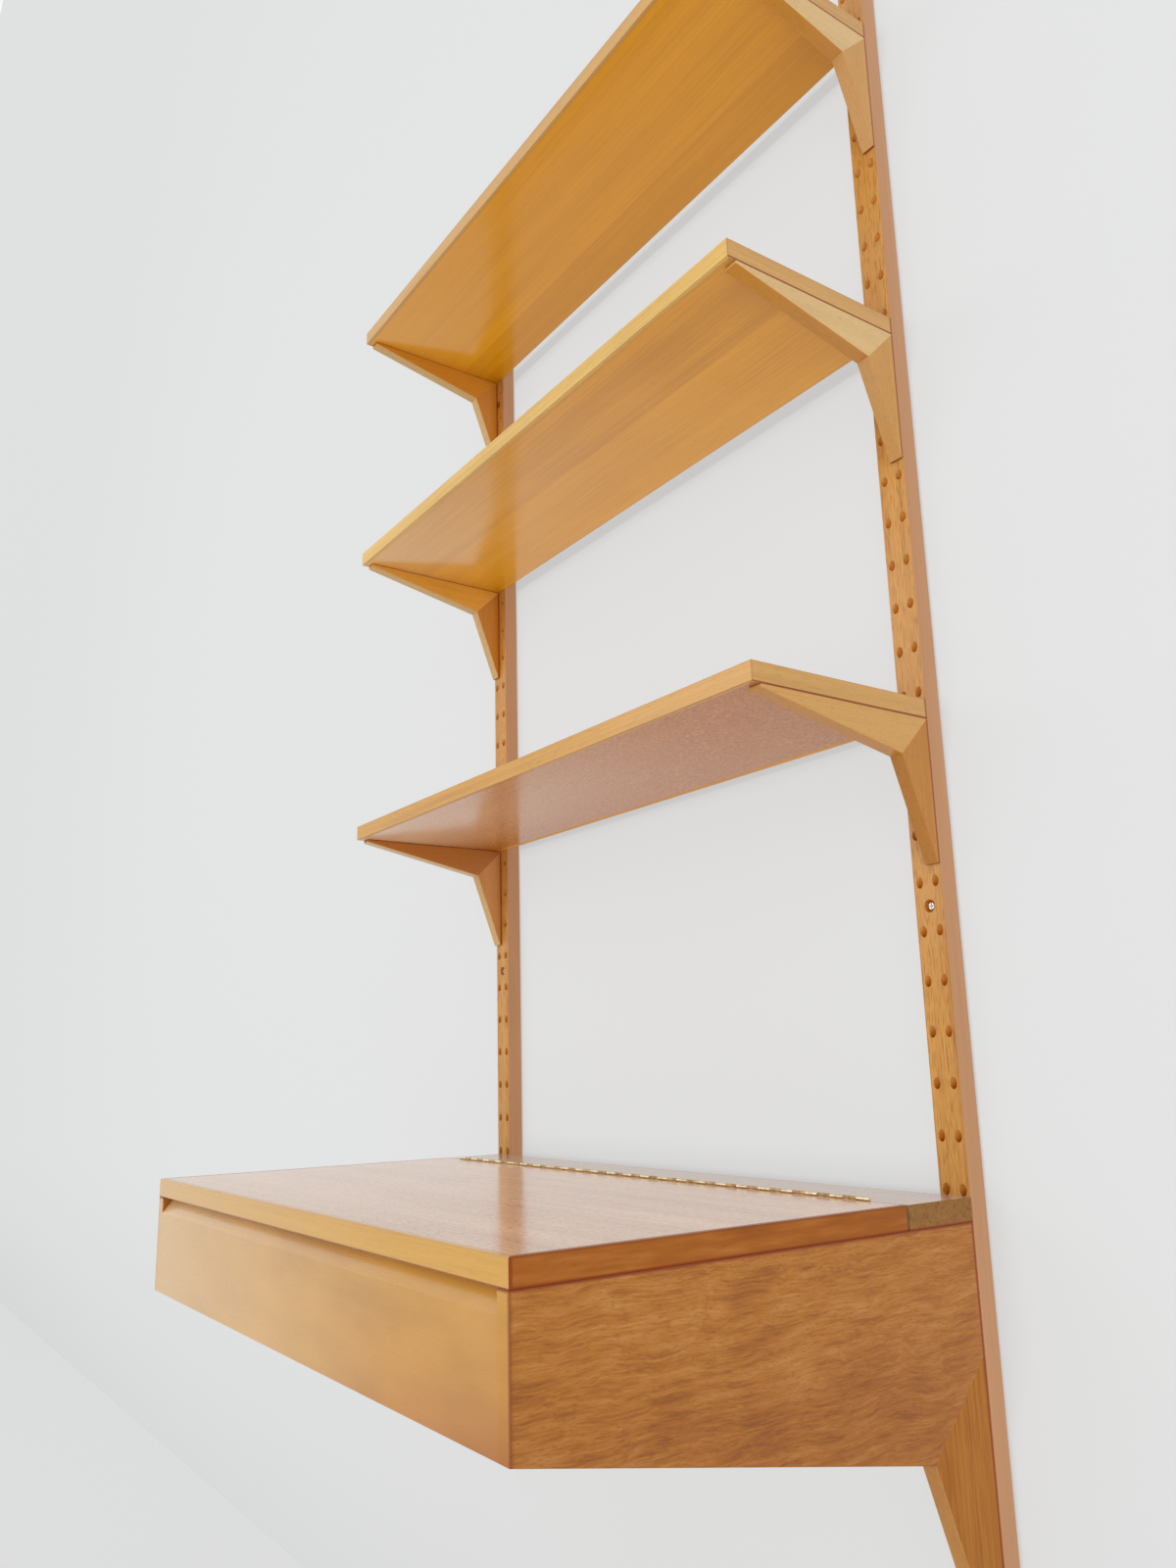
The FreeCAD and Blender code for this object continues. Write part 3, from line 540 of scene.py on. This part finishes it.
def screwTree(material):
    tree = bpy.data.node_groups.new("wall screws", "GeometryNodeTree")
    tree.interface.new_socket("Geometry", in_out="OUTPUT", socket_type="NodeSocketGeometry")
    for name in wallScrews:
        tree.interface.new_socket(name, in_out="INPUT", socket_type="NodeSocketFloat")
    size = addNode(tree, "NodeGroupInput").outputs
    crown = addNode(tree, "ShaderNodeMath", {0: size["Head Radius"], 1: screwMake["crownShare"]},
                    operation="MULTIPLY")
    head = addNode(tree, "GeometryNodeMeshCone", {
        "Vertices": screwMake["headSides"], "Side Segments": 1, "Radius Top": crown.outputs[0],
        "Radius Bottom": size["Head Radius"], "Depth": size["Head Height"]})
    shank = addNode(tree, "GeometryNodeMeshCylinder", {
        "Vertices": screwMake["shankSides"], "Radius": size["Shank Radius"], "Depth": size["Shank Length"]})
    sink = addNode(tree, "ShaderNodeMath", {0: size["Shank Length"], 1: -0.5}, operation="MULTIPLY")
    below = addNode(tree, "ShaderNodeCombineXYZ", {"Z": sink.outputs[0]})
    sunk = addNode(tree, "GeometryNodeTransform", {
        "Geometry": shank.outputs["Mesh"], "Translation": below.outputs[0]})
    top = addNode(tree, "ShaderNodeCombineXYZ", {"Z": size["Head Height"]})
    twice = addNode(tree, "ShaderNodeMath", {0: size["Drive Depth"], 1: 2.0}, operation="MULTIPLY")
    driven = addNode(tree, "GeometryNodeMeshBoolean", {"Mesh 1": head.outputs["Mesh"]},
                     operation="DIFFERENCE")
    for quarter in (0, 1):
        shape = addNode(tree, "ShaderNodeCombineXYZ", {
            "X": size["Drive Length"], "Y": size["Drive Width"], "Z": twice.outputs[0]})
        bar = addNode(tree, "GeometryNodeMeshCube", {"Size": shape.outputs[0]})
        cut = addNode(tree, "GeometryNodeTransform", {
            "Geometry": bar.outputs["Mesh"], "Translation": top.outputs[0],
            "Rotation": (0, 0, quarter * math.pi / 2)})
        tree.links.new(cut.outputs["Geometry"], driven.inputs["Mesh 2"])
    screw = addNode(tree, "GeometryNodeJoinGeometry", {"Geometry": driven.outputs["Mesh"]})
    tree.links.new(sunk.outputs["Geometry"], screw.inputs["Geometry"])
    places = addNode(tree, "GeometryNodeJoinGeometry")
    for side in (-1.0, 1.0):
        across = addNode(tree, "ShaderNodeMath", {0: size["Rail Middle"], 1: side}, operation="MULTIPLY")
        for level in (size["Upper Screw"], 0.0, size["Lower Screw"]):
            spot = addNode(tree, "ShaderNodeCombineXYZ", {
                "X": across.outputs[0], "Y": size["Hole Floor"], "Z": level})
            dot = addNode(tree, "GeometryNodeMeshLine", {"Count": 1, "Start Location": spot.outputs[0]})
            tree.links.new(dot.outputs["Mesh"], places.inputs["Geometry"])
    spread = addNode(tree, "GeometryNodeInstanceOnPoints", {
        "Points": places.outputs["Geometry"], "Instance": screw.outputs["Geometry"],
        "Rotation": (math.pi / 2, 0, 0)})
    turn = addNode(tree, "FunctionNodeRandomValue", {2: 0.0, 3: math.pi / 2, "Seed": screwMake["turnSeed"]},
                   data_type="FLOAT")
    spin = addNode(tree, "ShaderNodeCombineXYZ", {"Z": turn.outputs[1]})
    turned = addNode(tree, "GeometryNodeRotateInstances", {
        "Instances": spread.outputs["Instances"], "Rotation": spin.outputs[0]})
    whole = addNode(tree, "GeometryNodeRealizeInstances", {"Geometry": turned.outputs["Instances"]})
    plated = addNode(tree, "GeometryNodeSetMaterial", {
        "Geometry": whole.outputs["Geometry"], "Material": material})
    addNode(tree, "NodeGroupOutput", {"Geometry": plated.outputs["Geometry"]})
    return tree


def growFromTree(name, tree, sizes, sharpAngle):
    source = bpy.data.objects.new(name + "Source", bpy.data.meshes.new(name + "Source"))
    scene.collection.objects.link(source)
    modifier = source.modifiers.new("grow", "NODES")
    modifier.node_group = tree
    for socket in tree.interface.items_tree:
        if socket.in_out == "INPUT" and socket.name in sizes:
            modifier[socket.identifier] = sizes[socket.name]
    graph = bpy.context.evaluated_depsgraph_get()
    mesh = bpy.data.meshes.new_from_object(source.evaluated_get(graph))
    source.modifiers.remove(modifier)
    bpy.data.objects.remove(source)
    mesh.set_sharp_from_angle(angle=math.radians(sharpAngle))
    piece = bpy.data.objects.new(name, mesh)
    scene.collection.objects.link(piece)
    return piece


screws = growFromTree("wallScrews", screwTree(metal["zinc-plated steel"]), wallScrews,
                      screwMake["sharpAngle"])
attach(screws, "rails")
print("wall screws:", len(screws.data.polygons), "faces")


# a pale floor and a pale wall, both seen from their front only so that the back stays open to view
stage = {
    "paint": "#E3E4E4", "floorHeight": -0.985, "wallPlace": 1.5 * mm,
    "left": -16.0, "right": 8.0, "front": -9.0, "top": 10.0,
    "wallOwnLight": 0.8, "wallStrength": 0.78, "floorOwnLight": 0.7, "floorStrength": 0.9,
    "stipple": 9 * mm, "stippleDetail": 3.0, "stippleStrength": 0.15, "stippleDepth": 0.3 * mm,
}


# Matte wall paint, rolled on: part of what the camera and the gloss see is its own pale colour, which
# keeps the background even, and the rest takes the object's soft shadow.
def mattePaint(name, ownLight, strength):
    material, tree = newMaterial(name)
    colour = linear(stage["paint"])
    place = addNode(tree, "ShaderNodeTexCoord").outputs["Object"]
    stipple = addNode(tree, "ShaderNodeTexNoise", {
        "Vector": place, "Scale": 1 / stage["stipple"], "Detail": stage["stippleDetail"]})
    bump = addNode(tree, "ShaderNodeBump", {
        "Height": stipple.outputs["Fac"], "Strength": stage["stippleStrength"],
        "Distance": stage["stippleDepth"]})
    lit = addNode(tree, "ShaderNodeBsdfDiffuse", {"Color": colour, "Normal": bump.outputs["Normal"]})
    own = addNode(tree, "ShaderNodeEmission", {"Color": colour, "Strength": strength})
    ray = addNode(tree, "ShaderNodeLightPath").outputs
    seen = addNode(tree, "ShaderNodeMath", {0: ray["Is Camera Ray"], 1: ray["Is Glossy Ray"]},
                   operation="MAXIMUM")
    seen = addNode(tree, "ShaderNodeMath", {0: seen.outputs[0], 1: ray["Is Transmission Ray"]},
                   operation="MAXIMUM")
    share = addNode(tree, "ShaderNodeMath", {0: seen.outputs[0], 1: ownLight}, operation="MULTIPLY")
    shader = addNode(tree, "ShaderNodeMixShader", {
        0: share.outputs[0], 1: lit.outputs[0], 2: own.outputs[0]})
    hidden = addNode(tree, "ShaderNodeBsdfTransparent")
    behind = addNode(tree, "ShaderNodeNewGeometry").outputs["Backfacing"]
    either = addNode(tree, "ShaderNodeMixShader", {0: behind, 1: shader.outputs[0], 2: hidden.outputs[0]})
    addNode(tree, "ShaderNodeOutputMaterial", {"Surface": either.outputs[0]})
    return material


def stagePlane(name, corners, material):
    mesh = bpy.data.meshes.new(name)
    mesh.from_pydata(corners, [], [(0, 1, 2, 3)])
    mesh.materials.append(material)
    plane = bpy.data.objects.new(name, mesh)
    scene.collection.objects.link(plane)
    return plane


left, right, front, top = stage["left"], stage["right"], stage["front"], stage["top"]
ground, back = stage["floorHeight"], stage["wallPlace"]
floor = stagePlane("floor", [
    (left, front, ground), (right, front, ground), (right, back, ground), (left, back, ground)],
    mattePaint("matte floor paint", stage["floorOwnLight"], stage["floorStrength"]))
wall = stagePlane("wall", [
    (left, back, ground), (right, back, ground), (right, back, top), (left, back, top)],
    mattePaint("matte wall paint", stage["wallOwnLight"], stage["wallStrength"]))
wall.visible_diffuse = False     # light from the room behind reaches the back of the unit
wall.visible_shadow = False
print("stage set")


# soft studio light: an even room, a large lamp from the left, and fills from below and from the right
lights = {
    "room": "#FFFFFF", "roomStrength": 0.95,
    "key": {"place": (-1.9, -2.7, 1.1), "aim": (0, -0.2, 0.1), "size": 1.5, "power": 14,
            "colour": "#FFFCF8"},
    "low": {"place": (0.9, -2.6, -0.9), "aim": (0, -0.2, 0.5), "size": 2.0, "power": 19,
            "colour": "#FFFFFF"},
    "side": {"place": (3.0, -1.2, 0.5), "aim": (0.3, -0.2, 0.1), "size": 2.0, "power": 18,
             "colour": "#FFFFFF"},
    "washStrength": 2.6, "washSpread": 8,        # level light on the wall alone, which shades the slots
}


def addLamp(name, kind, ahead, **settings):
    data = bpy.data.lights.new(name, kind)
    for setting, value in settings.items():
        setattr(data, setting, value)
    holder = bpy.data.objects.new(name, data)
    holder.rotation_euler = ahead.to_track_quat("-Z", "Y").to_euler()
    scene.collection.objects.link(holder)
    return holder


# a lamp lights the target alone, or everything else
def linkLight(lamp, name, target, state):
    group = bpy.data.collections.new(name)
    group.objects.link(target)
    group.collection_objects[0].light_linking.link_state = state
    lamp.light_linking.receiver_collection = group


world = bpy.data.worlds.new("pale room")
world.use_nodes = True
world.node_tree.nodes.clear()
sky = addNode(world.node_tree, "ShaderNodeBackground", {
    "Color": linear(lights["room"]), "Strength": lights["roomStrength"]})
addNode(world.node_tree, "ShaderNodeOutputWorld", {"Surface": sky.outputs[0]})
scene.world = world
for name in ("key", "low", "side"):
    lamp = lights[name]
    holder = addLamp(name, "AREA", Vector(lamp["aim"]) - Vector(lamp["place"]), size=lamp["size"],
                     energy=lamp["power"], color=linear(lamp["colour"])[:3])
    holder.location = lamp["place"]
    holder.visible_camera = False
    holder.visible_glossy = name == "key"
    if name == "low":                            # it stands partly under the floor, which it mustn't light
        linkLight(holder, "unlit", floor, "EXCLUDE")
wash = addLamp("wallWash", "SUN", Vector(alongY), energy=lights["washStrength"],
               angle=math.radians(lights["washSpread"]))
linkLight(wash, "washed", wall, "INCLUDE")


# the photograph's view: from the right, low, looking up a little, with a slight roll
view = {"place": (1.08835, -0.88889, -0.13388), "azimuth": 54.982, "rise": 12.760, "roll": -1.455,
        "lens": 27.073, "shift": (-0.0019, 0.0086), "nearest": 0.02}
azimuth, rise, roll = (math.radians(view[name]) for name in ("azimuth", "rise", "roll"))
ahead = Vector((-math.sin(azimuth) * math.cos(rise), math.cos(azimuth) * math.cos(rise), math.sin(rise)))
level = ahead.cross(Vector(upZ)).normalized()
upright = level.cross(ahead)
camRight = math.cos(roll) * level + math.sin(roll) * upright
camUp = math.cos(roll) * upright - math.sin(roll) * level
turned = Matrix((camRight, camUp, -ahead)).transposed().to_4x4()
lens = bpy.data.cameras.new("camera")
lens.lens = view["lens"]
lens.shift_x, lens.shift_y = view["shift"]
lens.clip_start = view["nearest"]
camera = bpy.data.objects.new("camera", lens)
camera.matrix_world = Matrix.Translation(view["place"]) @ turned
scene.collection.objects.link(camera)
scene.camera = camera
scene.view_settings.view_transform = "Standard"
print("camera and light set")
